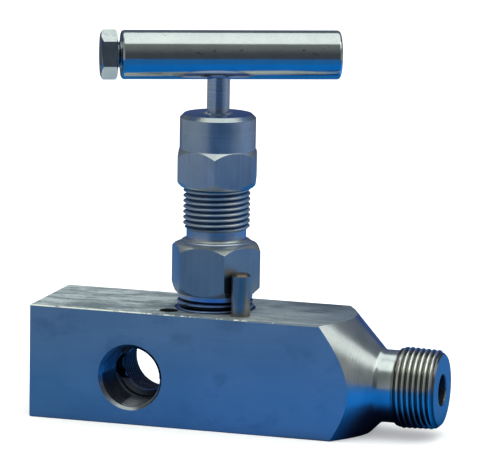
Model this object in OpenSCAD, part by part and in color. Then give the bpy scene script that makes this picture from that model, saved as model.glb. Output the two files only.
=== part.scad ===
// Multiport gauge valve, in millimetres.
// The stem axis is Z and the flow axis is X. Z = 0 is the underside of the bar.
// The male inlet points to +X, the open port to -Y faces the viewer.

/* [Bar body] */
// Side of the square bar
bar_w = 38.1; // [36.5:0.1:42]
// Small chamfer along the edges of the bar
bar_edge = 0.35; // [0.1:0.05:0.8]
// Stem axis to the plain end of the bar
bar_left = 58.6; // [54:0.1:66]
// Height of the flow axis above the underside
flow_z = 16; // [15.5:0.1:17]
// Half angle of the turned cone, measured from the flow axis
cone_angle = 45; // [40:1:50]
// Stem axis to the small end of the cone
cone_end_x = 58.4; // [56:0.1:66]
// Diameter of the turned neck
neck_d = 24; // [23:0.1:24.4]
// Radius of the fillet between cone and neck
neck_fillet = 2.5; // [1:0.1:4]
// Length of the neck before the thread
neck_l = 5.6; // [3.5:0.1:8]

/* [Inlet thread] */
// Largest crest diameter of the male pipe thread, at the neck
inlet_od = 27.04; // [26:0.02:28]
// Number of full thread crests
inlet_crests = 7; // [5:1:9]
// Pitch of the pipe threads
pipe_pitch = 1.814; // [1.5:0.001:2]
// Taper of a pipe thread, radius lost in each unit of length
pipe_taper = 0.03125; // [0:0.001:0.05]
// Length of the plain lead between the last crest and the end face
inlet_lead = 1.75; // [1:0.05:3]
// Radius taken off at the end face by the lead chamfer
inlet_chamfer = 1.35; // [0.5:0.05:1.6]
// Diameter of the inlet bore
inlet_bore_d = 10.25; // [8:0.05:12]
// Diameter of the drilling that goes on under the seat
feed_d = 6.2; // [5:0.1:6.6]
// Stem axis to the end of the large inlet bore
inlet_bore_end_x = 14; // [8:0.5:30]

/* [Ports] */
// Stem axis to the axis of the side ports
port_x = 23.3; // [22.5:0.1:26]
// Diameter of the threaded stretch of each port
port_d = 18.9; // [18.5:0.05:20.2]
// Diameter of the drilling between the threaded stretches
port_drill_d = 15.88; // [14:0.02:17.5]
// Diameter of the countersink at the face
port_mouth_d = 22.2; // [21:0.05:23]
// Depth of the threaded stretch of a side port
side_port_depth = 17; // [12:0.1:17.6]
// Depth of the threaded stretch of the end port
end_port_depth = 15.5; // [12:0.1:16]
// Diameter of the passage between end port and side ports
end_passage_d = 9; // [7:0.1:11]

/* [Seat] */
// Diameter of the seat orifice
orifice_d = 4.76; // [4:0.02:5]
// Outside diameter of the seat insert and of its retainer
seat_d = 9.9; // [9.4:0.1:10.4]
// Height of the seat insert
seat_h = 2.6; // [2:0.1:3]
// Height of the retainer ring
retainer_h = 1; // [0.8:0.1:1.4]
// Bore of the retainer ring
retainer_bore_d = 6.9; // [6.6:0.1:7.4]
// Width of the two spanner slots in the retainer
retainer_slot_w = 1.2; // [0.8:0.1:1.6]
// Half angle of the tip cone and of the seat mouth
seat_angle = 30; // [25:1:35]
// Height of the cone cut in the mouth of the orifice
seat_mouth_h = 0.8; // [0.4:0.1:1]

/* [Bonnet] */
// Crest diameter of the thread in the bar
bonnet_thread_d = 25.4; // [25:0.1:26]
// Pitch of the thread in the bar
bonnet_pitch = 2.117; // [1.8:0.001:2.2]
// Depth of the tapped hole in the bar
bonnet_depth = 9.5; // [8:0.1:10]
// Diameter of the countersink at the top of the tapped hole
bonnet_mouth_d = 27; // [26.4:0.1:27.2]
// Diameter of the plain neck under the hexagon
bonnet_neck_d = 24.7; // [24:0.1:24.9]
// Height of the neck and the exposed thread above the bar
bonnet_neck_h = 5.3; // [4:0.1:8]
// Width across the flats of the bonnet hexagon
bonnet_af = 27; // [26.8:0.1:28]
// Height of the bonnet hexagon
bonnet_hex_h = 16.9; // [14:0.1:20]
// Turn of the bonnet hexagon, front corner from -Y towards +X
bonnet_turn = 27.7; // [26:0.1:29]
// Diameter of the shoulder on top of the hexagon
shoulder_d = 23.2; // [23:0.1:23.6]
// Height of the shoulder
shoulder_h = 0.65; // [0.4:0.05:1]
// Diameter of the relief groove under the outside thread
relief_d = 19.84; // [19.4:0.02:19.9]
// Height of the relief groove
relief_h = 4.35; // [3.5:0.05:6]
// Crest diameter of the outside thread
nut_thread_d = 22.22; // [22:0.02:22.6]
// Pitch of the outside thread
nut_pitch = 1.814; // [1.5:0.001:2]
// Length of the outside thread
nut_thread_l = 24.7; // [24.4:0.1:26.5]

/* [Lock pin] */
// Diameter of the lock pin
pin_d = 6.35; // [6:0.05:6.6]
// Distance of the pin hole from the stem axis along X
pin_x = 12.4; // [12.2:0.1:13]
// Height of the pin above the bar
pin_h = 14.1; // [10:0.1:16]
// Depth of the pin holes
pin_hole_depth = 8; // [6:0.5:9]

/* [Packing] */
// Diameter of the packing box in the bonnet
box_d = 14; // [13:0.1:14.6]
// Depth of the packing box
box_depth = 24; // [23.6:0.1:26]
// Height of a packing washer without its ridge
washer_h = 1.2; // [1:0.1:1.6]
// Height of one vee ring at its edge
ring_h = 3; // [2.5:0.1:3.1]
// Rise of the vee from edge to middle
vee_h = 0.9; // [0.5:0.1:1.1]
// Diameter of the gland flange
flange_d = 18.8; // [17:0.1:19.6]
// Thickness of the gland flange
flange_t = 2.6; // [2:0.1:3.4]
// Gap left under the gland flange for taking up wear
gland_gap = 1.2; // [0.6:0.1:2]

/* [Packing nut] */
// Width across the flats of the nut
nut_af = 25.4; // [25.4:0.1:26.5]
// Height of the hexagon of the nut
nut_hex_h = 12.6; // [11:0.1:14.5]
// Diameter of the cylinder above the hexagon
nut_cyl_d = 25.2; // [24.6:0.1:25.3]
// Height of the cylinder
nut_cyl_h = 11.65; // [10:0.05:16]
// Depth of the thread in the nut
nut_skirt = 15; // [14:0.1:16.5]
// Chamfer at the top of the cylinder
nut_top_chamfer = 1.3; // [0.6:0.05:2.2]
// Section diameter of the wiper ring
wiper_t = 2; // [1.6:0.1:2.2]

/* [Stem] */
// Diameter of the polished shank
stem_d = 7.5; // [7.2:0.05:7.8]
// Crest diameter of the stem thread
stem_thread_d = 11.11; // [10.6:0.01:11.3]
// Pitch of the stem thread
stem_pitch = 1.27; // [1:0.01:1.5]
// Number of crests of the stem thread
stem_crests = 10; // [7:1:11]
// Turns of the handle from closed to open
open_turns = 3.75; // [3:0.25:3.75]
// Diameter of the stem under its thread
stem_foot_d = 8.8; // [8.4:0.1:9.2]
// Length of the stem under its thread
stem_foot_l = 4.8; // [4:0.1:5.5]
// Diameter of the nose of the tip
tip_nose_d = 6; // [5.6:0.1:6.2]
// Diameter of the collar of the tip
tip_collar_d = 8.4; // [7.6:0.1:9]
// Diameter of the shank of the tip, in the stem's socket
tip_shank_d = 4.7; // [4.4:0.05:4.8]
// Diameter of the thrust ball
ball_d = 3.97; // [3.4:0.01:4.2]
// Diameter of the two pins that keep the tip
tip_pin_d = 1.2; // [1:0.05:1.3]

/* [Handle] */
// Diameter of the handle bar
handle_d = 16.2; // [14.5:0.1:18]
// Stem axis to the end with the clamp screw
handle_left = 32.4; // [26:0.1:40]
// Stem axis to the plain end
handle_right = 40.2; // [26:0.1:50]
// Radius on the ends of the bar
handle_round = 1.2; // [0.8:0.1:3]
// Turn of the handle at rest, from +X towards +Y
handle_turn = 23.3; // [0:0.1:60]
// Gap between nut and bar when the valve is closed
handle_gap = 11.35; // [9:0.05:20]
// Depth of the stem in the bar, measured above the bar's axis
stem_grip = 5.2; // [5:0.1:6]

/* [Clamp screw] */
// Crest diameter of the clamp screw
screw_d = 9.53; // [9:0.01:10]
// Pitch of the clamp screw
screw_pitch = 1.588; // [1.2:0.001:1.6]
// Width across the flats of its head
screw_af = 14.3; // [13.5:0.1:15.5]
// Thickness of its head
screw_head_t = 5.4; // [4.5:0.1:7]
// Gap between head and bar
screw_gap = 1.25; // [0.5:0.05:3]
// Turn of the head about its own axis, front flat from level upwards
screw_turn = 8; // [0:1:30]
// Diameter of the plain point that bears on the stem
screw_point_d = 5.6; // [4.5:0.1:6]
// Depth of the flat on the stem under the point
stem_flat = 0.45; // [0.2:0.05:0.7]

/* [Fits] */
// Radial clearance of a fixed thread in its hole
thread_fit = 0.06; // [0.03:0.01:0.08]
// Radial clearance of a part that turns or slides
running_fit = 0.05; // [0.03:0.01:0.08]
// Gap between fixed inner pieces
rest_fit = 0.02; // [0.01:0.01:0.04]
// Gap left between the tip and its seat when closed
seat_gap = 0.12; // [0.08:0.01:0.2]

/* [Hidden] */

$fn = 96;
// How far a cut starts outside the metal, and how far joined solids reach into each other
cut = 1;
overlap = 0.2;
skin = 0.01;
// Shape of every thread, as shares of its pitch, and half angle of a drill point
thread_depth = 0.6134;
crest_flat = 0.125;
drill_point = 59;
// Small chamfers and fillets
small_edge = 0.3;
medium_edge = 0.5;
pin_edge = 0.7;
relief_fillet = 1.2;
bonnet_low_cut = 2.5;
bonnet_high_cut = 3.7;
nut_low_cut = 2.6;
screw_low_cut = 1.2;
screw_high_cut = 0.9;
screw_mouth = 0.8;
nut_lead = 0.5;
nut_mouth = 1.2;
nut_hole_gap = 0.35;
gasket_margin = 0.4;
roof_relief = 0.6;
link_inset = 0.5;
link_rise = 0.6;
link_short = 4;
foot_gap = 0.2;
tip_pin_rise = 2;
tip_groove = 1.05;
tip_plug_l = 3.8;
collar_rise = 1.5;
collar_room = 2.3;
collar_travel = 2;
wiper_depth = 3;

// Places along the flow axis
thread_start_x = cone_end_x + neck_l;
inlet_x = thread_start_x + inlet_crests * pipe_pitch + inlet_lead;
neck_r = neck_d / 2;

// Heights inside the bar, from its top down
top_z = bar_w;
land_z = top_z - bonnet_depth;
gasket_t = 1.2;
nose_z = land_z + gasket_t + rest_fit;
pocket_h = 3.6;
pocket_r = 8;
tap_runout = 2;
neck_band = 1.85;
pocket_z = land_z - pocket_h;
seat_r = seat_d / 2;
seat_floor_z = pocket_z - seat_h - retainer_h;
seat_top_z = seat_floor_z + seat_h;
orifice_r = orifice_d / 2;

// The slanted drilling from the pocket to the side ports
link_d = 4;
link_angle = 40;
link_x = link_inset - pocket_r;
link_z = pocket_z + link_rise;
link_l = (port_x - pocket_r - link_short) / cos(link_angle);

// Heights of the bonnet, from the top of the bar up
bonnet_thread_r = bonnet_thread_d / 2;
bonnet_neck_r = bonnet_neck_d / 2;
bonnet_hex_r = bonnet_af / 2 / cos(30);
hex_z = top_z + bonnet_neck_h;
hex_top_z = hex_z + bonnet_hex_h;
shoulder_z = hex_top_z + shoulder_h;
relief_r = relief_d / 2;
thread_z = shoulder_z + relief_h;
bonnet_top_z = thread_z + nut_thread_l;
nut_thread_r = nut_thread_d / 2;

// The pin touches the flat whose normal is one half corner past the front corner
flat_normal = bonnet_turn + 30;
pin_r = pin_d / 2;
pin_y = (bonnet_af / 2 + pin_r + rest_fit - pin_x * sin(flat_normal)) / cos(flat_normal);

// Heights of the packing, from the floor of its box up
stem_r = stem_d / 2;
box_r = box_d / 2;
box_z = bonnet_top_z - box_depth;
seal_in_r = stem_r + running_fit;
seal_out_r = box_r - rest_fit;
ring_step = ring_h + rest_fit;
ring_z = box_z + washer_h + rest_fit;
upper_washer_z = ring_z + 3 * ring_step;
gland_z = upper_washer_z + vee_h + washer_h;

// Heights of the nut
flange_z = bonnet_top_z + gland_gap;
roof_z = flange_z + flange_t;
nut_z = roof_z - nut_skirt;
nut_hex_r = nut_af / 2 / cos(30);
nut_hex_top_z = nut_z + nut_hex_h;
nut_top_z = nut_hex_top_z + nut_cyl_h;
nut_turn = bonnet_turn - 14;
wiper_z = nut_top_z - wiper_depth;
wiper_r = stem_r + running_fit + wiper_t / 2;

// Heights of the tip, from the seat up
tip_nose_r = tip_nose_d / 2;
tip_end_r = orifice_r / 2;
cone_offset = seat_gap / cos(seat_angle);
mouth_z = seat_top_z - seat_mouth_h;
tip_end_z = mouth_z + (tip_end_r + cone_offset - orifice_r) / tan(seat_angle);
tip_cone_z = mouth_z + (tip_nose_r + cone_offset - orifice_r) / tan(seat_angle);
collar_z = pocket_z + collar_rise;
collar_h = 4.5;
tip_shank_r = tip_shank_d / 2;
foot_z = collar_z + collar_h + foot_gap;
tip_pin_z = foot_z + tip_pin_rise;
tip_pin_gap = 0.15;
groove_r = tip_shank_r - tip_groove;
groove_h = tip_pin_d + 2 * tip_pin_gap;
tip_pin_y = groove_r + tip_pin_d / 2 + tip_pin_gap;
tip_top_z = foot_z + tip_plug_l;
socket_r = tip_shank_r + running_fit;
ball_r = ball_d / 2;
socket_top_z = tip_top_z + ball_d + 2 * running_fit;

// Heights of the stem
stem_thread_r = stem_thread_d / 2;
stem_thread_z = foot_z + stem_foot_l;
stem_thread_top_z = stem_thread_z + stem_crests * stem_pitch;
back_cone_h = stem_thread_r - stem_r;
lift = open_turns * stem_pitch;
back_seat_gap = 0.2;
back_seat_z = stem_thread_top_z + lift + back_seat_gap;
handle_r = handle_d / 2;
handle_z = nut_top_z + handle_gap + handle_r;
stem_top_z = handle_z + stem_grip;
screw_r = screw_d / 2;

// Points of a circular arc, from angle a0 to a1
function arc(x, y, r, a0, a1, n = 8) =
    [for (i = [0:n]) let (a = a0 + (a1 - a0) * i / n) [x + r * cos(a), y + r * sin(a)]];

// Outline of n thread crests that start at height z, each one vee with a narrow flat.
// The first crest loses run_out of its height, where the die stopped cutting.
function crests(r, z, pitch, n, taper = 0, run_out = 0) =
    [for (i = [0:n - 1], k = [0:3])
        let (
            pitch_r = r - taper * (i + 0.5) * pitch,
            top = pitch_r - (i == 0 ? run_out : 0),
            root = pitch_r - thread_depth * pitch,
            flank = (top - root) * tan(30),
            middle = z + (i + 0.5) * pitch,
            half = crest_flat * pitch / 2
        )
        k == 0 ? [root, middle - half - flank] :
        k == 1 ? [top, middle - half] :
        k == 2 ? [top, middle + half] :
                 [root, middle + half + flank]];

// A body turned about Z from the outline of its right half
module turned(points) {
    rotate_extrude() polygon(points);
}

// A body turned about the flow axis, its outline given as radius and X
module turned_on_flow(points) {
    translate([0, 0, flow_z]) rotate([0, 90, 0]) turned(points);
}

// Hexagon bar with a cone cut at each end, one corner towards -Y before the turn
module hexagon(r, z, h, low_r, low_h, high_r, high_h, turn) {
    intersection() {
        translate([0, 0, z]) rotate([0, 0, turn - 90]) cylinder(r = r, h = h, $fn = 6);
        turned([
            [0, z], [low_r, z], [r + skin, z + low_h], [r + skin, z + h - high_h],
            [high_r, z + h], [0, z + h]
        ]);
    }
}

// Blind drilling along +Z from z = 0, with a drill point
module drilled(d, l) {
    rotate_extrude() polygon([[0, -cut], [d / 2, -cut], [d / 2, l], [0, l + d / 2 / tan(drill_point)]]);
}

// One tapped port that opens at z = 0 and runs along +Z: countersink, threaded stretch and drill point
module port(depth) {
    port_r = port_d / 2;
    drill_r = port_drill_d / 2;
    mouth_r = port_mouth_d / 2;
    end = depth + (port_r - drill_r) / tan(drill_point);
    rotate_extrude() polygon([
        [0, -cut], [mouth_r, -cut], [mouth_r, 0], [port_r, mouth_r - port_r], [port_r, depth],
        [drill_r, end], [0, end]
    ]);
}

// Square bar with its edges taken off
module bar(l) {
    s = bar_w / 2;
    e = s - bar_edge;
    translate([-bar_left, 0, s]) rotate([90, 0, 90]) linear_extrude(l)
        polygon([[-e, -s], [e, -s], [s, -e], [s, e], [e, s], [-e, s], [-s, e], [-s, -e]]);
}

// Outline of the turned end: cone, neck, pipe thread and lead chamfer
function inlet_outline() =
    let (
        big_r = bar_w,
        cone_l = (big_r - neck_r) / tan(cone_angle),
        tangent = neck_fillet * tan(cone_angle / 2),
        thread_r = inlet_od / 2,
        end_r = thread_r - pipe_taper * (inlet_x - thread_start_x),
        lead_angle = 40,
        run_out = 0.5
    )
    concat(
        [[0, -bar_left - cut], [big_r, -bar_left - cut], [big_r, cone_end_x - cone_l]],
        arc(neck_r + neck_fillet, cone_end_x + tangent, neck_fillet, 180 + cone_angle, 180),
        [[neck_r, thread_start_x]],
        crests(thread_r, thread_start_x, pipe_pitch, inlet_crests, pipe_taper, run_out),
        [[end_r, inlet_x - inlet_chamfer / tan(lead_angle)], [end_r - inlet_chamfer, inlet_x], [0, inlet_x]]
    );

module valve_body() {
    color("#5f82ad") difference() {
        intersection() {
            bar(bar_left + inlet_x);
            turned_on_flow(inlet_outline());
        }
        // Inlet bore and the smaller drilling under the seat
        translate([inlet_x, 0, flow_z]) rotate([0, -90, 0]) {
            drilled(inlet_bore_d, inlet_x - inlet_bore_end_x);
            drilled(feed_d, inlet_x + orifice_r);
        }
        // Side ports, front and back, and the drilling between them
        for (side = [-1, 1])
            translate([-port_x, side * bar_w / 2, flow_z]) rotate([side * 90, 0, 0]) port(side_port_depth);
        translate([-port_x, -bar_w / 2, flow_z]) rotate([-90, 0, 0]) cylinder(d = port_drill_d, h = bar_w);
        // End port, its drilling and its passage to the side ports
        translate([-bar_left, 0, flow_z]) rotate([0, 90, 0]) {
            port(end_port_depth);
            drilled(port_drill_d, end_port_depth + tap_runout);
            cylinder(d = end_passage_d, h = bar_left - port_x);
        }
        // Tapped hole for the bonnet, pocket for the tip, pocket for the seat, orifice
        turned([
            [0, seat_floor_z], [seat_r + rest_fit, seat_floor_z], [seat_r + rest_fit, pocket_z],
            [pocket_r, pocket_z], [pocket_r, land_z], [bonnet_thread_r + thread_fit, land_z],
            [bonnet_thread_r + thread_fit, top_z - (bonnet_mouth_d - bonnet_thread_d) / 2 + thread_fit],
            [bonnet_mouth_d / 2, top_z], [bonnet_mouth_d / 2, top_z + cut], [0, top_z + cut]
        ]);
        translate([0, 0, flow_z]) cylinder(r = orifice_r, h = seat_floor_z - flow_z + cut);
        // Slanted drilling from the pocket to the side ports
        translate([link_x, 0, link_z]) rotate([0, -90 - link_angle, 0])
            translate([0, 0, -link_d / 2]) cylinder(d = link_d, h = link_l + link_d / 2);
        // Lock-pin holes, one used and one spare
        for (side = [-1, 1])
            translate([side * pin_x, -pin_y, top_z]) mirror([0, 0, 1]) drilled(pin_d, pin_hole_depth);
    }
}

module seat_insert() {
    color("#e8e2d0") turned([
        [orifice_r, seat_floor_z], [seat_r, seat_floor_z], [seat_r, seat_top_z - rest_fit],
        [orifice_r + seat_mouth_h * tan(seat_angle), seat_top_z - rest_fit], [orifice_r, mouth_z]
    ]);
}

module seat_retainer() {
    color("#8f979f") difference() {
        turned([
            [retainer_bore_d / 2, seat_top_z], [seat_r, seat_top_z], [seat_r, pocket_z - small_edge],
            [seat_r - small_edge, pocket_z], [retainer_bore_d / 2, pocket_z]
        ]);
        translate([-seat_d, -retainer_slot_w / 2, pocket_z - retainer_h / 2])
            cube([2 * seat_d, retainer_slot_w, retainer_h]);
    }
}

module bonnet_gasket() {
    gasket_in = pocket_r + gasket_margin;
    gasket_out = bonnet_thread_r - gasket_margin;
    color("#3b3d40") turned([
        [gasket_in, land_z], [gasket_out, land_z],
        [gasket_out, land_z + gasket_t], [gasket_in, land_z + gasket_t]
    ]);
}

// Outside of the bonnet in the bar: nose, thread, groove and neck
module bonnet_lower() {
    thread_top = hex_z - neck_band;
    turns = floor((thread_top - nose_z) / bonnet_pitch);
    root_r = bonnet_thread_r - thread_depth * bonnet_pitch;
    turned(concat(
        [[0, nose_z], [root_r, nose_z]],
        crests(bonnet_thread_r, thread_top - turns * bonnet_pitch, bonnet_pitch, turns),
        [[root_r, thread_top], [bonnet_neck_r, thread_top + small_edge], [bonnet_neck_r, hex_z + overlap],
         [0, hex_z + overlap]]
    ));
}

// Outside of the bonnet above the hexagon: shoulder, filleted relief groove and nut thread
module bonnet_upper() {
    turns = floor((nut_thread_l - nut_pitch) / nut_pitch);
    root_r = nut_thread_r - thread_depth * nut_pitch;
    turned(concat(
        [[0, hex_top_z - overlap], [shoulder_d / 2, hex_top_z - overlap],
         [shoulder_d / 2, shoulder_z - small_edge], [shoulder_d / 2 - small_edge, shoulder_z]],
        arc(relief_r + relief_fillet, shoulder_z + relief_fillet, relief_fillet, 270, 180),
        crests(nut_thread_r, thread_z, nut_pitch, turns),
        [[root_r, bonnet_top_z], [0, bonnet_top_z]]
    ));
}

module bonnet() {
    nose_bore_r = tip_collar_d / 2 + collar_room;
    nose_bore_h = foot_z - nose_z + collar_travel;
    thread_bore_r = stem_thread_r + running_fit;
    color("#5b7ba3") difference() {
        union() {
            bonnet_lower();
            hexagon(bonnet_hex_r, hex_z, bonnet_hex_h, bonnet_hex_r - bonnet_low_cut, bonnet_low_cut,
                bonnet_hex_r - bonnet_high_cut, bonnet_high_cut * tan(30), bonnet_turn);
            bonnet_upper();
        }
        // Nose bore, tapped bore, back seat, stem bore and packing box
        turned([
            [0, nose_z - cut], [nose_bore_r, nose_z - cut], [nose_bore_r, nose_z + nose_bore_h],
            [thread_bore_r, nose_z + nose_bore_h + nose_bore_r - thread_bore_r],
            [thread_bore_r, back_seat_z],
            [seal_in_r, back_seat_z + back_cone_h],
            [seal_in_r, box_z], [box_r, box_z], [box_r, bonnet_top_z - medium_edge],
            [box_r + medium_edge, bonnet_top_z], [box_r + medium_edge, bonnet_top_z + cut],
            [0, bonnet_top_z + cut]
        ]);
    }
}

module bonnet_lock_pin() {
    low = top_z - pin_hole_depth;
    high = top_z + pin_h;
    r = pin_r - rest_fit;
    color("#6d7880") translate([pin_x, -pin_y, 0]) turned([
        [0, low], [r - pin_edge, low], [r, low + pin_edge], [r, high - pin_edge],
        [r - pin_edge, high], [0, high]
    ]);
}

// Ring around the stem whose lower and upper faces may rise to a ridge in the middle
module packing_piece(z, h, low_vee, high_vee) {
    middle = (seal_in_r + seal_out_r) / 2;
    turned([
        [seal_in_r, z], [middle, z + low_vee], [seal_out_r, z],
        [seal_out_r, z + h], [middle, z + h + high_vee], [seal_in_r, z + h]
    ]);
}

module lower_packing_washer() {
    color("#9aa2a8") packing_piece(box_z, washer_h, 0, vee_h);
}

module packing_ring(i) {
    color("#eceae2") packing_piece(ring_z + i * ring_step, ring_h, vee_h, vee_h);
}

module packing_ring_lower() {
    packing_ring(0);
}

module packing_ring_middle() {
    packing_ring(1);
}

module packing_ring_upper() {
    packing_ring(2);
}

module upper_packing_washer() {
    color("#9aa2a8") packing_piece(upper_washer_z, vee_h + washer_h, vee_h, 0);
}

module packing_gland() {
    gland_r = box_r - running_fit;
    color("#7e8a94") turned([
        [seal_in_r, gland_z], [gland_r - small_edge, gland_z], [gland_r, gland_z + small_edge],
        [gland_r, flange_z], [flange_d / 2, flange_z], [flange_d / 2, roof_z - medium_edge],
        [flange_d / 2 - medium_edge, roof_z], [seal_in_r, roof_z]
    ]);
}

module packing_nut() {
    cyl_r = nut_cyl_d / 2;
    stem_hole_r = stem_r + nut_hole_gap;
    mouth_r = stem_hole_r + nut_mouth;
    groove_r = wiper_r + wiper_t / 2 + rest_fit;
    groove_half = wiper_t / 2 + rest_fit;
    roof_r = flange_d / 2 + small_edge;
    color("#5d7aa0") difference() {
        // Hexagon bar, turned to a cylinder above and to a cone below
        intersection() {
            translate([0, 0, nut_z]) rotate([0, 0, nut_turn - 90])
                cylinder(r = nut_hex_r, h = nut_top_z - nut_z, $fn = 6);
            turned([
                [0, nut_z], [nut_hex_r - nut_low_cut, nut_z], [nut_hex_r + skin, nut_z + nut_low_cut],
                [nut_hex_r + skin, nut_hex_top_z - nut_hex_r + cyl_r], [cyl_r, nut_hex_top_z],
                [cyl_r, nut_top_z - nut_top_chamfer], [cyl_r - nut_top_chamfer, nut_top_z], [0, nut_top_z]
            ]);
        }
        // Thread bore with its lead, hole for the stem with the wiper groove and countersink
        turned([
            [0, nut_z - cut], [nut_thread_r + nut_lead, nut_z - cut], [nut_thread_r + nut_lead, nut_z],
            [nut_thread_r + thread_fit, nut_z + nut_lead], [nut_thread_r + thread_fit, roof_z - roof_relief],
            [roof_r, roof_z - roof_relief], [roof_r, roof_z], [stem_hole_r, roof_z],
            [stem_hole_r, wiper_z - groove_half], [groove_r, wiper_z - groove_half],
            [groove_r, wiper_z + groove_half], [stem_hole_r, wiper_z + groove_half],
            [stem_hole_r, nut_top_z - nut_mouth], [mouth_r, nut_top_z], [mouth_r, nut_top_z + cut],
            [0, nut_top_z + cut]
        ]);
    }
}

module stem_wiper() {
    color("#26282b") rotate_extrude() translate([wiper_r, wiper_z]) circle(d = wiper_t, $fn = 32);
}

module stem_tip() {
    color("#98a0a6") turned([
        [0, tip_end_z], [tip_end_r, tip_end_z], [tip_nose_r, tip_cone_z], [tip_nose_r, collar_z],
        [tip_collar_d / 2 - medium_edge, collar_z], [tip_collar_d / 2, collar_z + medium_edge],
        [tip_collar_d / 2, collar_z + collar_h], [groove_r, collar_z + collar_h],
        [groove_r, tip_pin_z + groove_h / 2],
        [tip_shank_r, tip_pin_z + groove_h / 2], [tip_shank_r, tip_top_z], [0, tip_top_z]
    ]);
}

module thrust_ball() {
    color("#b5bbc0") translate([0, 0, tip_top_z + ball_r + running_fit]) sphere(d = ball_d, $fn = 48);
}

// Axes of the two pins that pass beside the groove of the tip
module tip_pin_places() {
    for (side = [-1, 1])
        translate([0, side * tip_pin_y, tip_pin_z]) rotate([0, 90, 0]) children();
}

module tip_pins() {
    half_chord = sqrt(pow(stem_foot_d / 2, 2) - pow(tip_pin_y, 2));
    color("#b5bbc0") tip_pin_places()
        cylinder(d = tip_pin_d - rest_fit, h = 2 * (half_chord - small_edge), center = true);
}

module stem() {
    foot_r = stem_foot_d / 2;
    root_r = stem_thread_r - thread_depth * stem_pitch;
    color("#7d8fa6") difference() {
        turned(concat(
            [[0, foot_z], [foot_r - medium_edge, foot_z], [foot_r, foot_z + medium_edge],
             [foot_r, stem_thread_z - (root_r - foot_r)]],
            crests(stem_thread_r, stem_thread_z, stem_pitch, stem_crests),
            [[stem_thread_r - small_edge, stem_thread_top_z],
             [stem_r, stem_thread_top_z + back_cone_h - small_edge],
             [stem_r, stem_top_z - medium_edge], [stem_r - medium_edge, stem_top_z], [0, stem_top_z]]
        ));
        // Socket for the tip and the ball, holes for the pins, flat for the clamp screw
        translate([0, 0, foot_z - cut]) cylinder(r = socket_r, h = socket_top_z - foot_z + cut);
        tip_pin_places() cylinder(d = tip_pin_d, h = stem_foot_d + cut, center = true);
        rotate([0, 0, handle_turn]) translate([-2 * stem_r + stem_flat, -stem_d, handle_z - screw_r])
            cube([stem_r, 2 * stem_d, screw_r + stem_grip + cut]);
    }
}

// Frame of the handle: X along the bar, from the stem axis
module on_handle() {
    translate([0, 0, handle_z]) rotate([0, 0, handle_turn]) rotate([0, 90, 0]) children();
}

module handle_bar() {
    color("#6f8fb8") difference() {
        on_handle() turned(concat(
            [[0, -handle_left]],
            arc(handle_r - handle_round, -handle_left + handle_round, handle_round, -90, 0),
            arc(handle_r - handle_round, handle_right - handle_round, handle_round, 0, 90),
            [[0, handle_right]]
        ));
        // Blind hole for the stem and tapped hole for the clamp screw
        translate([0, 0, handle_z - handle_r - cut])
            cylinder(r = stem_r + rest_fit, h = handle_r + stem_grip + rest_fit + cut);
        on_handle() translate([0, 0, -handle_left - cut])
            cylinder(r = screw_r + thread_fit, h = handle_left + cut);
        on_handle() translate([0, 0, -handle_left - skin])
            cylinder(r1 = screw_r + screw_mouth, r2 = screw_r, h = screw_mouth);
    }
}

module handle_screw() {
    point_x = -(stem_r - stem_flat) - rest_fit;
    point_l = 3;
    head_r = screw_af / 2 / cos(30);
    head_x = -handle_left - screw_gap - screw_head_t;
    shank_x = head_x + screw_head_t;
    root_r = screw_r - thread_depth * screw_pitch;
    turns = floor((point_x - point_l - shank_x - small_edge) / screw_pitch);
    color("#8aa0a8") on_handle() {
        hexagon(head_r, head_x, screw_head_t, head_r - screw_low_cut, screw_low_cut * tan(30),
            head_r - screw_high_cut, screw_high_cut * tan(30), 90 - screw_turn);
        turned(concat(
            [[0, shank_x - overlap], [root_r, shank_x - overlap]],
            crests(screw_r, shank_x + small_edge, screw_pitch, turns),
            [[screw_point_d / 2, point_x - point_l], [screw_point_d / 2, point_x], [0, point_x]]
        ));
    }
}

valve_body();
seat_insert();
seat_retainer();
bonnet_gasket();
bonnet();
bonnet_lock_pin();
lower_packing_washer();
packing_ring_lower();
packing_ring_middle();
packing_ring_upper();
upper_packing_washer();
packing_gland();
packing_nut();
stem_wiper();
stem_tip();
thrust_ball();
tip_pins();
stem();
handle_bar();
handle_screw();
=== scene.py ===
from math import ceil, cos, hypot, pi, radians, sin, tan

import bpy
from mathutils import Matrix, Vector


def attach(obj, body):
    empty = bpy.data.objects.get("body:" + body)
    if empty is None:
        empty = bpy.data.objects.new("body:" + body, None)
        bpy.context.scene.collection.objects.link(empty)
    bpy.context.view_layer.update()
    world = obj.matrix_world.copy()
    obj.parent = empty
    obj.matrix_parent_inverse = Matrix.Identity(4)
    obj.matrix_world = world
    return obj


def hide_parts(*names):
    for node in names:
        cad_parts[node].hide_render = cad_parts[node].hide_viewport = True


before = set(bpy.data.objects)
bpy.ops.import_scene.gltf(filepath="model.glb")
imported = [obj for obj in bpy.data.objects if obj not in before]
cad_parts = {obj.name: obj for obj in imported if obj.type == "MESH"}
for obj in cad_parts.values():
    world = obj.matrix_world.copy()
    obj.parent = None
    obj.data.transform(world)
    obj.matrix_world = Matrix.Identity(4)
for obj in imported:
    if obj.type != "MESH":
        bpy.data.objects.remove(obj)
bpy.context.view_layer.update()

# Camera: a long lens a little above the bar and to the right of square on,
# turned by about a degree, as the outlines of the photograph give it.
MM = 0.001
azimuth, elevation, roll = radians(17.075), radians(10.075), radians(0.942)
target = Vector((8.218, 0, 62.856)) * MM
distance = 1330.865 * MM
back = Vector((sin(azimuth) * cos(elevation), -cos(azimuth) * cos(elevation), sin(elevation)))
level = Vector((cos(azimuth), sin(azimuth), 0))
upright = back.cross(level)
right = level * cos(roll) + upright * sin(roll)
up = upright * cos(roll) - level * sin(roll)
lens = bpy.data.cameras.new("camera")
lens.sensor_fit = "HORIZONTAL"
lens.sensor_width = 36
lens.lens = 301.78
lens.clip_end = 20
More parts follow.
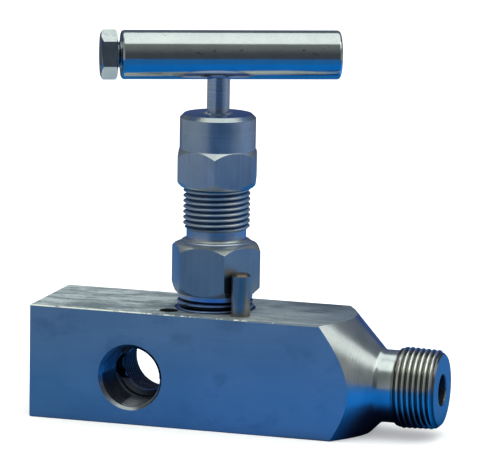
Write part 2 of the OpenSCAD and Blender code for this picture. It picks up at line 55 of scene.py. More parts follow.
camera = bpy.data.objects.new("camera", lens)
facing = Matrix((right, up, back)).transposed().to_4x4()
camera.matrix_world = Matrix.Translation(target + back * distance) @ facing
bpy.context.scene.collection.objects.link(camera)
bpy.context.scene.camera = camera
bpy.context.scene.view_settings.view_transform = "Standard"


# Valve body: a length of drawn square stainless bar. Its right end is turned to a
# cone, a neck and the male pipe thread, and it is drilled and tapped from the
# sides, the left end and the top. The thread is a real helix, cut from the crests.
BAR_W = 38.1
HALF_W = BAR_W / 2
BAR_LEFT = -58.6
CONE_X = 32.3
NECK_X = 59.4355
INLET_END = 78.448
INLET_BORE_R = 5.125
BROKEN_EDGE = 0.35
FLOW_Z = 16
PORT_X = -23.3
PORT_DRILL_R = 7.94
PORT_CREST_R = 9.45
PORT_WIDE_R = 9.94
PORT_MOUTH_R = 11.1
PIPE_PITCH = 1.814
PIPE_SLOPE = 0.03125
PIN_X, PIN_Y = 12.4, -11.63
PIN_R = 3.175
PIN_FLOOR = 30.1
DRILL_POINT = tan(radians(59))
ALONG_FLOW = (0, pi / 2, 0)
TO_THE_LEFT = (0, -pi / 2, 0)
TO_THE_FRONT = (pi / 2, 0, 0)
TO_THE_BACK = (-pi / 2, 0, 0)


def choose(piece):
    """Selects one piece alone and makes it active."""
    bpy.ops.object.select_all(action="DESELECT")
    piece.select_set(True)
    bpy.context.view_layer.objects.active = piece


def start(kind, name, place=(0, 0, 0), turn=(0, 0, 0), scale=(1, 1, 1), **sizes):
    """A primitive at its size and place, in millimetres, with its object left at the origin.
    Its lengths are given as floats, and its numbers of corners as whole numbers."""
    bpy.ops.object.select_all(action="DESELECT")
    sizes = {size: value * MM if isinstance(value, float) else value for size, value in sizes.items()}
    add = getattr(bpy.ops.mesh, f"primitive_{kind}_add")
    add(location=[v * MM for v in place], rotation=turn, scale=scale, **sizes)
    piece = bpy.context.object
    piece.name = piece.data.name = name
    bpy.ops.object.transform_apply(location=True, rotation=True, scale=True)
    return piece


def modify(piece, kind, **settings):
    """Adds a modifier with its settings and applies it."""
    modifier = piece.modifiers.new(kind.lower(), kind)
    for name, value in settings.items():
        setattr(modifier, name, value)
    bpy.context.view_layer.objects.active = piece
    bpy.ops.object.modifier_apply(modifier=modifier.name)


def edit(piece, select="SELECT"):
    """Opens a piece in edit mode with all of it selected, or none of it."""
    choose(piece)
    bpy.ops.object.mode_set(mode="EDIT")
    bpy.ops.mesh.select_all(action=select)


def lay(piece, place=(0, 0, 0), turn=(0, 0, 0)):
    """Turns and moves a piece, then puts its object back at the origin."""
    choose(piece)
    piece.location, piece.rotation_euler = [v * MM for v in place], turn
    bpy.ops.object.transform_apply(location=True, rotation=True, scale=True)
    return piece


def turned(name, points, pitch=0.0, turns=1.0, steps=96):
    """Spins an outline of (radius, height) points about the upright axis. With a pitch it
    climbs as a right-hand screw. Points off the axis at both ends make a closed ring."""
    if points[0][0] > 0:
        points = [*points, points[0]]
    piece = start("plane", name, place=(points[0][0], 0, points[0][1]), size=0.1)
    edit(piece)
    bpy.ops.mesh.merge(type="CENTER")
    for (r0, z0), (r1, z1) in zip(points, points[1:]):
        way = ((r1 - r0) * MM, 0, (z1 - z0) * MM)
        bpy.ops.mesh.extrude_vertices_move(TRANSFORM_OT_translate={"value": way})
    bpy.ops.object.mode_set(mode="OBJECT")
    rounds = ceil(turns)
    share = turns / rounds
    modify(piece, "SCREW", angle=2 * pi * share, screw_offset=pitch * share * MM, iterations=rounds,
           steps=steps, render_steps=steps, use_merge_vertices=False)
    edit(piece)
    bpy.ops.mesh.remove_doubles(threshold=1e-6)
    if pitch:
        bpy.ops.mesh.fill_holes(sides=0)
    bpy.ops.mesh.normals_make_consistent(inside=False)
    bpy.ops.object.mode_set(mode="OBJECT")
    return piece


def join(piece, tool, operation):
    """Adds, keeps or cuts away the shape of a closed tool, which is then thrown away."""
    modify(piece, "BOOLEAN", operation=operation, object=tool, solver="EXACT")
    bpy.data.objects.remove(tool)


def groove(name, crest_r, pitch, turns, slope=0.0, inwards=1):
    """The helical vee of a thread, as a solid to cut with, from height 0 up. It cuts inwards
    from the crests, or outwards with -1, and rounds them. A slope narrows it upwards."""
    crest, root, deep = 0.34 * pitch, 0.0834 * pitch, 0.6134 * pitch
    wide = crest + 0.28
    half = [(crest_r - depth * inwards, z) for depth, z in (
        (-0.04, wide), (0.07, crest + 0.08), (0.165, crest), (deep, root))]
    piece = turned(name, [(r, -z) for r, z in half] + half[::-1], pitch, turns)
    if slope:
        modify(piece, "SIMPLE_DEFORM", deform_method="TAPER", deform_axis="Z",
               factor=-slope * (pitch * turns + 2 * wide) / crest_r)
    return piece


def smooth(piece):
    """Shades a piece smooth, except across its edges."""
    choose(piece)
    bpy.ops.object.shade_smooth_by_angle(angle=radians(30))


body = start("cube", "body", place=((INLET_END + BAR_LEFT) / 2, 0, HALF_W), size=1.0,
             scale=(INLET_END - BAR_LEFT, BAR_W, BAR_W))
edit(body, "DESELECT")
bpy.ops.object.mode_set(mode="OBJECT")
for edge in body.data.edges:
    ends = [body.data.vertices[i].co for i in edge.vertices]
    edge.select = abs((ends[0] - ends[1]).x) > BAR_W * MM
bpy.ops.object.mode_set(mode="EDIT")
bpy.ops.mesh.select_mode(type="EDGE")
bpy.ops.mesh.bevel(offset=BROKEN_EDGE * MM, segments=1)
bpy.ops.mesh.select_mode(type="VERT")
bpy.ops.object.mode_set(mode="OBJECT")

fillet = [(14.5 + 2.5 * cos(radians(a)), NECK_X + 2.5 * sin(radians(a))) for a in range(225, 179, -9)]
envelope = turned("envelope", [
    (0, -70), (38.1, -70), (38.1, CONE_X), *fillet, (12, 64.0), (12.8, 64.3), (12.99, 64.9), (13.45, 66.3),
    (13.07, 76.84), (11.72, INLET_END), (0, INLET_END)])
join(body, lay(envelope, (0, 0, FLOW_Z), ALONG_FLOW), "INTERSECT")
inlet_groove = groove("inlet_groove", 13.52, PIPE_PITCH, 9, PIPE_SLOPE)
join(body, lay(inlet_groove, (63.97, 0, FLOW_Z), ALONG_FLOW), "DIFFERENCE")

inlet_bore = turned("inlet_bore", [
    (0, -4.24), (3.1, -2.38), (3.1, 12.78), (INLET_BORE_R, 14), (INLET_BORE_R, 78.1), (5.7, 78.675),
    (5.7, 80), (0, 80)])
join(body, lay(inlet_bore, (0, 0, FLOW_Z), ALONG_FLOW), "DIFFERENCE")
cone = (PORT_CREST_R - PORT_DRILL_R) / DRILL_POINT
half = [(0, HALF_W + 1), (PORT_MOUTH_R + 1, HALF_W + 1), (PORT_MOUTH_R, HALF_W), (PORT_WIDE_R, 17.9),
        (PORT_CREST_R, 2.05), (PORT_DRILL_R, 2.05 - cone)]
side_ports = turned("side_ports", [(r, -y) for r, y in half] + half[::-1])
join(body, lay(side_ports, (PORT_X, 0, FLOW_Z), TO_THE_FRONT), "DIFFERENCE")
end_port = turned("end_port", [
    (0, -PORT_X), (4.5, -PORT_X), (4.5, 39.03), (PORT_DRILL_R, 41.1), (PORT_DRILL_R, 43.1 - cone),
    (PORT_CREST_R, 43.1), (PORT_WIDE_R, 57.44), (PORT_MOUTH_R, -BAR_LEFT), (PORT_MOUTH_R + 1, 1 - BAR_LEFT),
    (0, 1 - BAR_LEFT)])
join(body, lay(end_port, (0, 0, FLOW_Z), TO_THE_LEFT), "DIFFERENCE")
for place, turn in (((PORT_X, -3.6, FLOW_Z), TO_THE_FRONT), ((PORT_X, 3.6, FLOW_Z), TO_THE_BACK),
                    ((-44.6, 0, FLOW_Z), TO_THE_LEFT)):
    port_groove = groove("port_groove", PORT_CREST_R, PIPE_PITCH, 8, -PIPE_SLOPE, -1)
    join(body, lay(port_groove, place, turn), "DIFFERENCE")
bonnet_hole = turned("bonnet_hole", [
    (0, FLOW_Z), (2.38, FLOW_Z), (2.38, 21.4), (4.97, 21.4), (4.97, 25), (8, 25), (8, 28.6), (12.76, 28.6),
    (12.76, 37.36), (13.5, BAR_W), (14.5, BAR_W + 1), (0, BAR_W + 1)])
join(body, bonnet_hole, "DIFFERENCE")
link = turned("link", [(0, -2), (2, -2), (2, 14.75), (0, 14.75)], steps=32)
join(body, lay(link, (-7.5, 0, 25.6), (0, radians(-130), 0)), "DIFFERENCE")
for x in (-PIN_X, PIN_X):
    pin_hole = turned("pin_hole", [(0, PIN_FLOOR - PIN_R / DRILL_POINT), (PIN_R, PIN_FLOOR),
                                   (PIN_R, BAR_W + 1), (0, BAR_W + 1)], steps=48)
    join(body, lay(pin_hole, (x, PIN_Y, 0)), "DIFFERENCE")
smooth(body)


class Wire:
    """An output socket in a node tree. Arithmetic on it adds the Math nodes."""

    def __init__(self, tree, socket=None):
        self.tree, self.socket = tree, socket

    def node(self, kind, settings=None, inputs=None, output=0):
        """A new node: its settings first, then the values or links of its sockets."""
        made = self.tree.nodes.new("ShaderNode" + kind)
        for name, value in (settings or {}).items():
            setattr(made, name, value)
        for name, value in (inputs or {}).items():
            if isinstance(value, Wire):
                self.tree.links.new(value.socket, made.inputs[name])
            else:
                made.inputs[name].default_value = value
        if made.outputs:
            return Wire(self.tree, made.outputs[output])

    def sum(self, operation, *others):
        """A Math node on this value and others."""
        return self.node("Math", {"operation": operation}, dict(enumerate((self, *others))))

    def __add__(self, other): return self.sum("ADD", other)
    def __sub__(self, other): return self.sum("SUBTRACT", other)
    def __mul__(self, other): return self.sum("MULTIPLY", other)
    def __truediv__(self, other): return self.sum("DIVIDE", other)
    def __radd__(self, other): return self.sum("ADD", other)
    def __rmul__(self, other): return self.sum("MULTIPLY", other)
    def __rsub__(self, other): return (self * -1).sum("ADD", other)

    def step(self, low, high):
        """0 below low, 1 above high and smooth between."""
        return self.node("MapRange", {"interpolation_type": "SMOOTHSTEP"},
                         {0: self, 1: low, 2: high, 3: 0.0, 4: 1.0})

    def xyz(self):
        """The three parts of a vector."""
        return [self.node("SeparateXYZ", None, {0: self}, i) for i in range(3)]

    def mix(self, low, high):
        """Colour low where this value is 0, high where it is 1."""
        low, high = [(*c, 1) if isinstance(c, tuple) else c for c in (low, high)]
        return self.node("Mix", {"data_type": "RGBA"}, {0: self, 6: low, 7: high}, 2)

    def noise(self, stretch, detail=3.0, roughness=0.55, centre=(0, 0, 0)):
        """Noise between 0 and 1 with stretch cells a metre along each axis."""
        place = self.node("Mapping", None, {0: self, 1: centre, 3: stretch})
        return self.node("TexNoise", None, {0: place, "Scale": 1.0, "Detail": detail, "Roughness": roughness})

    def about(self, axis, height=0.0):
        """Radius from an axis and the place along it, for marks that a lathe leaves as rings."""
        x, y, z = self.xyz()
        along, across = (x, z - height) if axis == "X" else (z, x)
        radius = (y * y + across * across).sum("SQRT")
        return self.node("CombineXYZ", None, {0: radius, 1: 0.0, 2: along}), radius, along


def metal(name, rough):
    """A material with a metallic shader and a wire on Object coordinates."""
    made = bpy.data.materials.new(name)
    made.use_nodes = True
    shader = made.node_tree.nodes["Principled BSDF"]
    shader.inputs["Metallic"].default_value = 1.0
    shader.inputs["Roughness"].default_value = rough
    return made, shader, Wire(made.node_tree).node("TexCoord", output=3)


def connect(shader, **wires):
    """Links wires to the sockets of a shader, with _ for a space in their names."""
    for name, wire in wires.items():
        wire.tree.links.new(wire.socket, shader.inputs[name.replace("_", " ")])


def bump(height, distance):
    """A normal that follows a height between 0 and 1, with the relief in metres."""
    return height.node("Bump", None, {"Distance": distance, "Height": height})


# Drawn flats: lines along the bar, with cloudy patches and a few darker stains. The
# top edge has a pale painted highlight on the left and painted shade farther on.
bar_steel, shader, place = metal("bar_steel", 0.3)
lines = place.noise((14, 1500, 1500), 3.0, 0.6)
streaks = place.noise((9, 160, 160), 4.0, 0.6)
cloud = place.noise((38, 60, 60), 4.0, 0.6)
x, _, z = place.xyz()
high = z.step(0.012, 0.037)
stains = place.noise((60, 70, 80), 5.0, 0.65, (1.3, 0, 0)) * 0.8 + streaks * 0.2 + high * 0.08
tone = (lines * 0.15 + streaks * 0.3 + cloud * 0.55).step(0.33, 0.67)
tone = tone.mix((0.52, 0.53, 0.52), (0.60, 0.61, 0.60))
tone = (stains.step(0.56, 0.72) * 0.55).mix(tone, (0.34, 0.36, 0.36))
# Painted highlight: a pale line along the top edge on the left; the rest of the edge gets painted shade.
edge = z.step(0.03775, 0.03785) * (place.noise((110, 0, 0), 6.0, 0.75) + x * -2.2).step(0.49, 0.56)
corner = (z.step(0.03775, 0.0378) - edge).mix(tone, (0.2, 0.22, 0.25))
connect(shader, Base_Color=edge.mix(corner, (0.9, 0.87, 0.76)), Roughness=0.3 + cloud * 0.12 + high * 0.06,
        Normal=bump(lines * 0.6 + streaks * 0.4, 0.00002))

# Ground top: rougher, with long scratches and bright nicks. A painted highlight, pale on the
# left and front, fades to bluish painted shade towards the inlet.
top_steel, shader, place = metal("bar_top_steel", 0.5)
x, y, _ = place.xyz()
scratches = place.noise((60, 2600, 10), 4.0, 0.7)
long_streaks = place.noise((45, 330, 10), 4.0, 0.7)
patches = place.noise((75, 130, 10), 6.0, 0.75)
fine = place.noise((700, 1500, 10), 3.0, 0.6)
# Painted highlight on the left and front, fading to bluish painted shade towards the inlet; the roughness
# drops with it.
painted_shade_to_inlet = (x * 10 + y * 12 + patches * 1.2 - 0.45).step(0.0, 0.8)
tone = (scratches * 0.25 + long_streaks * 0.3 + patches * 0.45).step(0.44, 0.56)
tone = tone.mix(painted_shade_to_inlet.mix((0.4, 0.45, 0.47), (0.12, 0.155, 0.21)),
                painted_shade_to_inlet.mix((0.97, 1.0, 0.98), (0.36, 0.41, 0.47)))
speck = fine.step(0.62, 0.7) * patches.step(0.45, 0.6)
tone = ((1 - fine).step(0.6, 0.72) * 0.5).mix(tone, (0.12, 0.14, 0.16))
connect(shader, Base_Color=(speck * 0.8).mix(tone, (0.95, 0.98, 0.97)),
        Roughness=0.55 + patches * 0.2 + painted_shade_to_inlet * -0.14,
        Normal=bump(scratches * 0.6 + fine * 0.4, 0.00008))

# Turned cone, neck and thread: fine rings about the flow axis. Along the thread the roots
# have painted shade and the crests a pale painted highlight.
turned_steel, shader, place = metal("turned_bar_steel", 0.2)
rings, radius, along = place.about("X", FLOW_Z * MM)
marks = rings.noise((2200, 0, 2200), 3.0, 0.6)
cloud = place.noise((90, 90, 90), 3.0)
threaded = along.step(0.0635, 0.0645)
from_cone = radius + along * PIPE_SLOPE
# Painted shade in the thread's roots and a pale painted highlight on its crests.
root = threaded * (1 - from_cone.step(0.0144, 0.0155))
crest = threaded * from_cone.step(0.015, 0.0154)
tone = (marks * 0.25 + cloud * 0.75).step(0.34, 0.66).mix((0.57, 0.58, 0.58), (0.74, 0.74, 0.73))
tone = (crest * 0.8).mix(tone, (0.95, 0.9, 0.78))
connect(shader, Base_Color=(root * 0.85).mix(tone, (0.12, 0.10, 0.09)), Roughness=0.17 + cloud * 0.1,
        Normal=bump(marks, 0.000013))

# Drilled and tapped walls: a soft cutting grain and a trace of oil. Deep inside, and at
# the lower left of the front port, they have painted shade.
bore_steel, shader, place = metal("bore_steel", 0.3)
grain = place.noise((700, 700, 700), 3.0, 0.6)
oil = place.noise((140, 140, 140), 3.0)
x, y, z = place.xyz()
# Painted shade deep inside the drilled passages.
deep = y.step(-0.01, 0.0) * (1 - z.step(0.035, 0.036)) * (1 - x.step(0.0, 0.01))
tone = oil.step(0.4, 0.65).mix((0.36, 0.37, 0.39), (0.18, 0.19, 0.22))
tone = (deep * 0.7).mix(tone, (0.08, 0.08, 0.12))
# Painted shade at the lower left of the front port.
painted_shade_low_left = ((x - PORT_X * MM) * -0.82 + (z - FLOW_Z * MM) * -0.57).step(0.0079, 0.0083)
shade = painted_shade_low_left * y.step(-0.0179, -0.0174) * (1 - y.step(-0.006, -0.004))
connect(shader, Base_Color=(shade * 0.85).mix(tone, (0.025, 0.025, 0.045)),
        Roughness=0.22 + oil * 0.14, Normal=bump(grain, 0.00001))

for material in (bar_steel, top_steel, turned_steel, bore_steel):
    body.data.materials.append(material)
FLAT, TOP, TURNED, DRILLED = range(4)
mouth = PORT_MOUTH_R + 0.01
for face in body.data.polygons:
    (x, y, z), normal = face.center / MM, face.normal
    from_flow, from_port = hypot(y, z - FLOW_Z), hypot(x - PORT_X, z - FLOW_Z)
    from_side = HALF_W - max(abs(y), abs(z - HALF_W))
    if x > NECK_X or x > CONE_X and abs(normal.x) > 0.05:
        face.material_index = TURNED if from_flow > INLET_BORE_R + 0.175 else DRILLED
    elif normal.z > 0.9 and z > BAR_W - 0.1:
        face.material_index = TOP
    elif min(from_flow, from_port) < mouth:
        face.material_index = DRILLED
    else:
        face.material_index = FLAT if from_side < BROKEN_EDGE + 0.01 or x < BAR_LEFT + 0.01 else DRILLED
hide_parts("valve_body")
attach(body, "valve")


def dress(node, material):
    """Gives a solid from the model its finished material."""
    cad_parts[node].data.materials.clear()
    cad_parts[node].data.materials.append(material)


# Seat, its retainer and the gasket: an off-white polymer ring pressed under a slotted
# steel ring, and a flat graphite ring that seals the nose of the bonnet.
seat_polymer, shader, place = metal("seat_polymer", 0.45)
shader.inputs["Metallic"].default_value = 0.0
speck = place.noise((900, 900, 900), 3.0)
connect(shader, Base_Color=speck.step(0.35, 0.7).mix((0.80, 0.75, 0.62), (0.9, 0.86, 0.75)),
        Normal=bump(speck, 0.000004))
dress("seat_insert", seat_polymer)
inner_steel, shader, place = metal("inner_steel", 0.24)
rings, radius, along = place.about("Z")
marks = rings.noise((2500, 0, 2500), 3.0, 0.6)
cloud = place.noise((250, 250, 250), 3.0)
tone = (marks * 0.4 + cloud * 0.6).step(0.35, 0.65)
connect(shader, Base_Color=tone.mix((0.5, 0.51, 0.53), (0.66, 0.67, 0.68)),
        Roughness=0.18 + cloud * 0.12, Normal=bump(marks, 0.000008))
dress("seat_retainer", inner_steel)
graphite, shader, place = metal("graphite", 0.5)
shader.inputs["Metallic"].default_value = 0.35
flake = place.noise((1500, 1500, 1500), 3.0, 0.7)
connect(shader, Base_Color=flake.step(0.4, 0.7).mix((0.03, 0.03, 0.032), (0.11, 0.11, 0.115)),
        Roughness=0.4 + flake * 0.3, Normal=bump(flake, 0.000012))
dress("bonnet_gasket", graphite)

# Bonnet: hexagon bar, turned above and below the hexagon and threaded at both ends. It
# is screwed down on its gasket, and its upper thread carries the packing nut.
BONNET_PITCH = 2.117
STEEL = (0.60, 0.61, 0.62)
DULL = (0.44, 0.46, 0.48)
relief = [(11.12 + 1.2 * cos(radians(a)), 62.15 + 1.2 * sin(radians(a))) for a in range(270, 179, -15)]
bonnet = turned("bonnet_turning", [
    (0, 29.82), (11.4, 29.82), (12.7, 31.1), (12.7, 40.62), (11.7, 41.2), (11.7, 41.42), (12.35, 41.8),
    (12.35, 44), (11.5, 44), (11.5, 60), (11.6, 60), (11.6, 60.65), (11.3, 60.95), *relief, (9.92, 64.55),
    (11.11, 65.6), (11.11, 88.9), (10, 90), (0, 90)])
hexagon = start("cylinder", "bonnet_hexagon", place=(0, 0, 51.85), turn=(0, 0, radians(-62.3) + pi / 2),
                vertices=6, radius=15.588, depth=16.9)
corner = turned("corner", [(0, 43.4), (13.088, 43.4), (15.6, 45.912), (15.6, 57.89), (14.0, 59.38),
                           (11.888, 60.3), (0, 60.3)])
join(hexagon, corner, "INTERSECT")
join(bonnet, hexagon, "UNION")
join(bonnet, turned("bonnet_bore", [
    (0, 29), (6.5, 29), (6.5, 33.2), (5.61, 34.1), (5.61, 53.66), (3.8, 55.47), (3.8, 66), (7, 66), (7, 89.5),
    (7.5, 90), (7.5, 91), (0, 91)]), "DIFFERENCE")
join(bonnet, lay(groove("nut_groove", 11.11, PIPE_PITCH, 16), (0, 0, 62.797)), "DIFFERENCE")
join(bonnet, lay(groove("bonnet_groove", 12.7, BONNET_PITCH, 5.5), (0, 0, 29.3)), "DIFFERENCE")
smooth(bonnet)

# Its flats are drawn lengthwise, and the rest is turned. The threads have painted shade in
# their roots and a pale painted highlight on the crests of the upper thread. The flat behind
# the pin has a painted shadow of the pin, the right flats are painted darker and warmer as a
# reflection, and the chamfer under the hexagon is painted blue as a reflection.
bonnet_steel, shader, place = metal("bonnet_steel", 0.26)
rings, radius, along = place.about("Z")
marks = rings.noise((1800, 0, 1800), 3.0, 0.6)
drawn = place.noise((1500, 1500, 14), 3.0, 0.6)
cloud = place.noise((110, 110, 60), 4.0, 0.6)
x, y, z = place.xyz()
on_hexagon = radius.step(0.0128, 0.0131) * along.step(0.0433, 0.0436) * (1 - along.step(0.0598, 0.0606))
fine = on_hexagon * drawn + (1 - on_hexagon) * marks
tone = (fine * 0.3 + cloud * 0.7).step(0.34, 0.66).mix(DULL, STEEL)
# Painted reflection: the chamfer under the hexagon is tinted blue.
blue_reflection_under_hexagon = (radius - along).step(-0.03036, -0.03032) * (1 - along.step(0.0455, 0.0461))
tone = (blue_reflection_under_hexagon * 0.8).mix(tone, (0.34, 0.5, 0.85))
# Painted reflection: the right flats are darker and warmer.
right_flats_reflection = on_hexagon * (x.step(-0.012, -0.006) * 0.3 + 0.1)
tone = right_flats_reflection.mix(tone, (0.32, 0.31, 0.23))
upper, lower = along.step(0.0648, 0.0656), 1 - along.step(0.0414, 0.0417)
# Painted highlight on the crests of the upper thread.
crest = upper * radius.step(0.0105, 0.0109)
tone = (crest * 0.8).mix(tone, (0.95, 0.86, 0.72))
# Painted shade in the roots of both threads.
upper_root, lower_root = upper * (1 - radius.step(0.0099, 0.0106)), lower * (1 - radius.step(0.0121, 0.0126))
root = lower_root.mix((0.1, 0.11, 0.14), (0.03, 0.032, 0.05))
tone = (upper_root + lower_root).sum("MINIMUM", 1.0).mix(tone, root)
# Painted shadow of the pin on the hexagon flat beside it.
pin_shadow = x.step(0.0072, 0.0074) * (1 - x.step(0.011, 0.012)) * (1 - y.step(-0.006, -0.005))
pin_shadow = pin_shadow * (1 - z.step(0.0502, 0.0518)) * on_hexagon
grain = fine * (1 - (upper + lower) * 0.85)
connect(shader, Base_Color=(pin_shadow * 0.9).mix(tone, (0.03, 0.03, 0.035)),
        Roughness=0.24 + cloud * 0.16 + on_hexagon * 0.08, Normal=bump(grain, 0.00004))
bonnet.data.materials.append(bonnet_steel)
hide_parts("bonnet")
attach(bonnet, "valve")

# Lock pin: a short ground dowel driven into the bar against a flat of the hexagon, so
# that the bonnet can't turn. Its top and foot have painted shade, and its right side is
# warmer as a painted reflection.
pin_steel, shader, place = metal("pin_steel", 0.28)
x, _, along = place.xyz()
haze = place.noise((300, 300, 60), 3.0)
ground = place.noise((60, 60, 2600), 3.0, 0.6)
painted_top, foot_shade = along.step(0.0514, 0.0516), 1 - along.step(0.0385, 0.0415)
tone = haze.step(0.35, 0.65).mix((0.34, 0.33, 0.31), (0.46, 0.43, 0.4))
# Painted reflection: the right side of the pin is warmer.
tone = (x.step(0.0126, 0.0145) * 0.6).mix(tone, (0.46, 0.36, 0.26))
# Painted shade on the foot and the top of the pin.
tone = foot_shade.mix(tone, (0.22, 0.2, 0.17))
connect(shader, Base_Color=(painted_top * 0.85).mix(tone, (0.1, 0.07, 0.05)), Roughness=0.24 + haze * 0.14,
        Normal=bump(ground, 0.00003))
dress("bonnet_lock_pin", pin_steel)

# Packing: three white vee rings around the stem between a ridged washer below and a
# grooved one above, pressed down by the flanged gland.
packing, shader, place = metal("packing", 0.5)
shader.inputs["Metallic"].default_value = 0.0
wool = place.noise((1200, 1200, 1200), 4.0, 0.65)
connect(shader, Base_Color=wool.step(0.35, 0.7).mix((0.82, 0.8, 0.76), (0.93, 0.92, 0.9)),
        Roughness=0.4 + wool * 0.2, Normal=bump(wool, 0.000006))
for ring in ("packing_ring_lower", "packing_ring_middle", "packing_ring_upper"):
    dress(ring, packing)
for part in ("lower_packing_washer", "upper_packing_washer", "packing_gland"):
    dress(part, inner_steel)

# Packing nut: turned from hexagon bar, with a cylinder above, and screwed down over the
# gland. The groove in its roof holds a rubber wiper ring against the stem. It is scuffed,
# and painted reflections make it paler and greyer on the left and blue on top.
nut_steel, shader, place = metal("nut_steel", 0.26)
rings, radius, along = place.about("Z")
marks = rings.noise((3600, 0, 3600), 3.0, 0.6)
drawn = place.noise((1500, 1500, 14), 3.0, 0.6)
cloud = place.noise((110, 110, 60), 4.0, 0.6)
on_hexagon = radius.step(0.0126, 0.0127) * (1 - along.step(0.0908, 0.0912))
fine = on_hexagon * drawn + (1 - on_hexagon) * marks
left_reflection, painted_top = 1 - place.xyz()[0].step(-0.004, 0.002), along.step(0.10296, 0.10302)
scuff = place.noise((330, 330, 60), 5.0, 0.7).step(0.62, 0.67)
tone = (fine * 0.4 + cloud * 0.6).step(0.34, 0.66).mix(DULL, STEEL)
# Painted reflections: paler and greyer on the left, blue on the top face.
tone = (left_reflection * 0.5).mix(tone, (0.68, 0.65, 0.58))
tone = (painted_top * 0.6).mix(tone, (0.1, 0.23, 0.6))
connect(shader, Base_Color=(scuff * 0.4).mix(tone, (0.30, 0.27, 0.23)), Roughness=0.24 + cloud * 0.14,
        Normal=bump(fine, 0.00003))
dress("packing_nut", nut_steel)
wiper_rubber, shader, place = metal("wiper_rubber", 0.55)
shader.inputs["Metallic"].default_value = 0.0
dust = place.noise((1600, 1600, 1600), 3.0)
connect(shader, Base_Color=dust.step(0.5, 0.8).mix((0.012, 0.012, 0.013), (0.06, 0.06, 0.06)),
        Normal=bump(dust, 0.000005))
dress("stem_wiper", wiper_rubber)

# Stem: ground and polished shank over the rolled thread that lifts it. Its socket
# holds a hard tip on a ball, kept in by two cross pins.
stem_steel, shader, place = metal("stem_steel", 0.2)
rings, radius, along = place.about("Z")
marks = rings.noise((2500, 0, 2500), 2.0, 0.5)
cloud = place.noise((200, 200, 80), 3.0)
tone = (marks * 0.4 + cloud * 0.6).step(0.35, 0.65)
# Its blue tint is a painted reflection of the blue sheet.
connect(shader, Base_Color=tone.mix((0.43, 0.5, 0.61), (0.54, 0.62, 0.74)),
        Roughness=0.17 + cloud * 0.1, Normal=bump(marks, 0.00004))
dress("stem", stem_steel)
hard_steel, shader, place = metal("hard_steel", 0.16)
haze = place.noise((600, 600, 600), 3.0)
connect(shader, Base_Color=haze.step(0.35, 0.65).mix((0.58, 0.59, 0.6), (0.7, 0.7, 0.7)),
        Roughness=0.12 + haze * 0.08, Normal=bump(haze, 0.000003))
for part in ("stem_tip", "thrust_ball", "tip_pins"):
    dress(part, hard_steel)

# Handle: polished round bar across the top of the stem, with rounded ends. It has fine
# scratches and a few pits along its front, and a pale line low on both sides is a painted reflection.
HANDLE_Z = 122.5
handle_steel, shader, place = metal("handle_steel", 0.14)
haze = place.noise((130, 130, 130), 4.0, 0.6)
scratch = place.noise((900, 2400, 2400), 3.0, 0.6)
from_axis = place.xyz()[2] - HANDLE_Z * MM
pitted = from_axis.step(0.0, 0.0012) * (1 - from_axis.step(0.0028, 0.004))
pits = (place.noise((520, 520, 900), 3.0, 0.6) + pitted * 0.06).step(0.69, 0.74)
tone = (haze * 0.6 + scratch * 0.4).step(0.33, 0.67).mix((0.55, 0.55, 0.55), (0.63, 0.63, 0.62))
# Painted reflection: a pale line low on both sides of the handle.
low = from_axis.step(-0.0059, -0.0055) * (1 - from_axis.step(-0.0046, -0.0042))
tone = (low * (scratch * 1.5 - 0.1)).mix(tone, (1.0, 0.93, 0.8))
connect(shader, Base_Color=(pits * 0.6).mix(tone, (0.14, 0.13, 0.13)), Roughness=0.1 + haze * 0.08,
        Normal=bump(scratch, 0.000004))
dress("handle_bar", handle_steel)

# Clamp screw: a plated hexagon-head screw in the left end of the handle, whose point
# presses on the stem. Its front flat is painted darker and bluer, and its lower flats paler, as
# painted reflections.
screw_steel, shader, place = metal("screw_steel", 0.2)
plating = place.noise((420, 420, 420), 4.0, 0.6)
from_axis = place.xyz()[2] - HANDLE_Z * MM
# Painted reflections: the front flat darker and bluer, the lower flats paler.
low, high = 1 - from_axis.step(-0.0033, -0.0029), from_axis.step(0.0049, 0.0053)
tone = plating.step(0.35, 0.68).mix((0.58, 0.6, 0.6), (0.8, 0.8, 0.78))
tone = ((1 - low - high) * 0.6).mix(tone, (0.28, 0.34, 0.42))
connect(shader, Base_Color=(low * 0.7).mix(tone, (1.0, 0.95, 0.9)),
        Roughness=0.16 + plating * 0.12, Normal=bump(plating, 0.000012))
dress("handle_screw", screw_steel)

# Room: the camera sees white, plain surfaces an even grey, and polished metal a dim room
# with grey walls, as the real one seems to have done before it was put on white.
WALL_TURN = azimuth + 0.13
WALL = (0.34, 0.375, 0.38)


def walls(side):
    """The walls by how far round to the side they are: dark ahead, grey to the left and right."""
    tone = (side * -1).step(0.51, 0.59).mix((0.06, 0.075, 0.09), WALL)
    return (side.step(0.51, 0.59) * 0.5 + side.step(0.75, 0.98) * 0.5).mix(tone, WALL)


world = bpy.data.worlds.new("world")
bpy.context.scene.world = world
world.use_nodes = True
world.node_tree.nodes.clear()
sky = Wire(world.node_tree)
x, y, z = sky.node("TexCoord").xyz()
ahead = x * -sin(azimuth) + y * cos(azimuth)
side = x * cos(WALL_TURN) + y * sin(WALL_TURN)
in_front = z.step(0.1, 0.85).mix(walls(side), (0.19, 0.225, 0.215))
behind = z.step(0.1, 0.45).mix((0.012, 0.05, 0.2), (0.12, 0.15, 0.19))
room = ahead.step(0.0, 0.4).mix(in_front, behind)
is_camera = sky.node("LightPath", None, None, 0)
is_glossy = sky.node("LightPath", None, None, 3)
seen = is_camera.mix(is_glossy.mix((0.75, 0.75, 0.75), room), (1.0, 1.0, 1.0))
sky.node("OutputWorld", None, {0: sky.node("Background", None, {0: seen, 1: 1.0})})

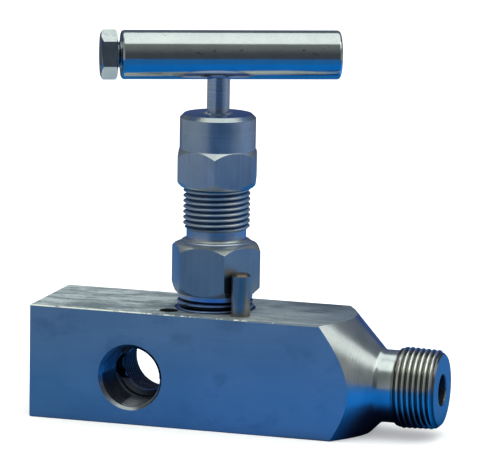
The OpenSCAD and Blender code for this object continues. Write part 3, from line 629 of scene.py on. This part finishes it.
# Floor: plain and pale, with the shadow on it. In polished metal it shows as a blue sheet
# whose edge curls up all round, like the one that the real valve seems to have stood on.
SHEET_R = 394.0
bpy.ops.object.select_all(action="DESELECT")
bpy.ops.mesh.primitive_plane_add(size=8)
floor = bpy.context.object
floor.name = "floor"
paper, shader, place = metal("floor_paper", 0.9)
shader.inputs["Metallic"].default_value = 0.0
shader.inputs["Specular IOR Level"].default_value = 0.0
shader.inputs["Emission Strength"].default_value = 1.0
is_camera = place.node("LightPath", None, None, 0)
is_glossy = place.node("LightPath", None, None, 3)
fibre = place.noise((4, 4, 4), 2.0).mix((0.92, 0.92, 0.92), (0.94, 0.94, 0.94))
x, y, z = place.xyz()
from_middle = (x * x + y * y).sum("SQRT")
from_inlet = ((x - 0.065) * (x - 0.065) + (y + 0.03) * (y + 0.03)).sum("SQRT")
blue = from_inlet.step(0.055, 0.15).mix((0.005, 0.168, 0.6), (0.015, 0.14, 0.4))
blue = (x.step(0.08, 0.09) * y.step(0.0, 0.03)).mix(blue, (0.06, 0.28, 0.8))
# Painted shadow on the sheet under the inlet, which polished metal shows.
off_painted_shadow = (x - 0.052).sum("ABSOLUTE").step(0.02, 0.034) + (y - 0.01).sum("ABSOLUTE").step(0.02, 0.038)
blue = off_painted_shadow.sum("MINIMUM", 1.0).mix((0.006, 0.012, 0.045), blue)
off_sheet = from_middle.step(0.385, 0.4)
side = (x * cos(WALL_TURN) + y * sin(WALL_TURN)) / from_middle
far = (off_sheet * is_glossy).mix((0.0, 0.0, 0.0), walls(side))
connect(shader, Base_Color=is_glossy.mix(fibre, off_sheet.mix(blue, (0.0, 0.0, 0.0))),
        Emission_Color=is_camera.mix(far, (0.3, 0.3, 0.3)))
floor.data.materials.append(paper)
rim = turned("sheet_rim", [(SHEET_R, 0), (SHEET_R, 27)])
rim.visible_camera = rim.visible_diffuse = rim.visible_shadow = False
paper, shader, place = metal("sheet_paper", 1.0)
shader.inputs["Metallic"].default_value = 0.0
shader.inputs["Specular IOR Level"].default_value = 0.0
shader.inputs["Base Color"].default_value = (0, 0, 0, 1)
shader.inputs["Emission Strength"].default_value = 1.0
shade = place.xyz()[2].step(0.0, 0.025)
connect(shader, Emission_Color=shade.mix((0.022, 0.165, 0.47), (0.03, 0.17, 0.5)))
rim.data.materials.append(paper)


# Lamps: a broad softbox overhead, square on to the camera, and a smaller one high on
# the right. Polished metal shows them, and the camera doesn't see them.
def softbox(name, place, turn, width, height, radiance, colour):
    """An area lamp that looks down before it is turned, as bright all over as radiance says."""
    lamp = bpy.data.lights.new(name, "AREA")
    lamp.shape = "RECTANGLE"
    lamp.size, lamp.size_y = width, height
    lamp.energy = radiance * pi * width * height
    lamp.color = colour
    made = bpy.data.objects.new(name, lamp)
    made.location = place
    made.rotation_euler = turn
    made.visible_camera = False
    bpy.context.scene.collection.objects.link(made)


softbox("softbox_above", (0.02, 0.16, 1.1), (0, 0, azimuth), 1.6, 1.42, 1.13, (0.895, 1, 0.955))
to_valve = Vector((1.0, 0.05, 0.9)).to_track_quat("Z", "Y").to_euler()
softbox("softbox_beside", (1.0, 0.05, 0.95), to_valve, 0.9, 0.6, 1.0, (0.92, 1, 0.97))
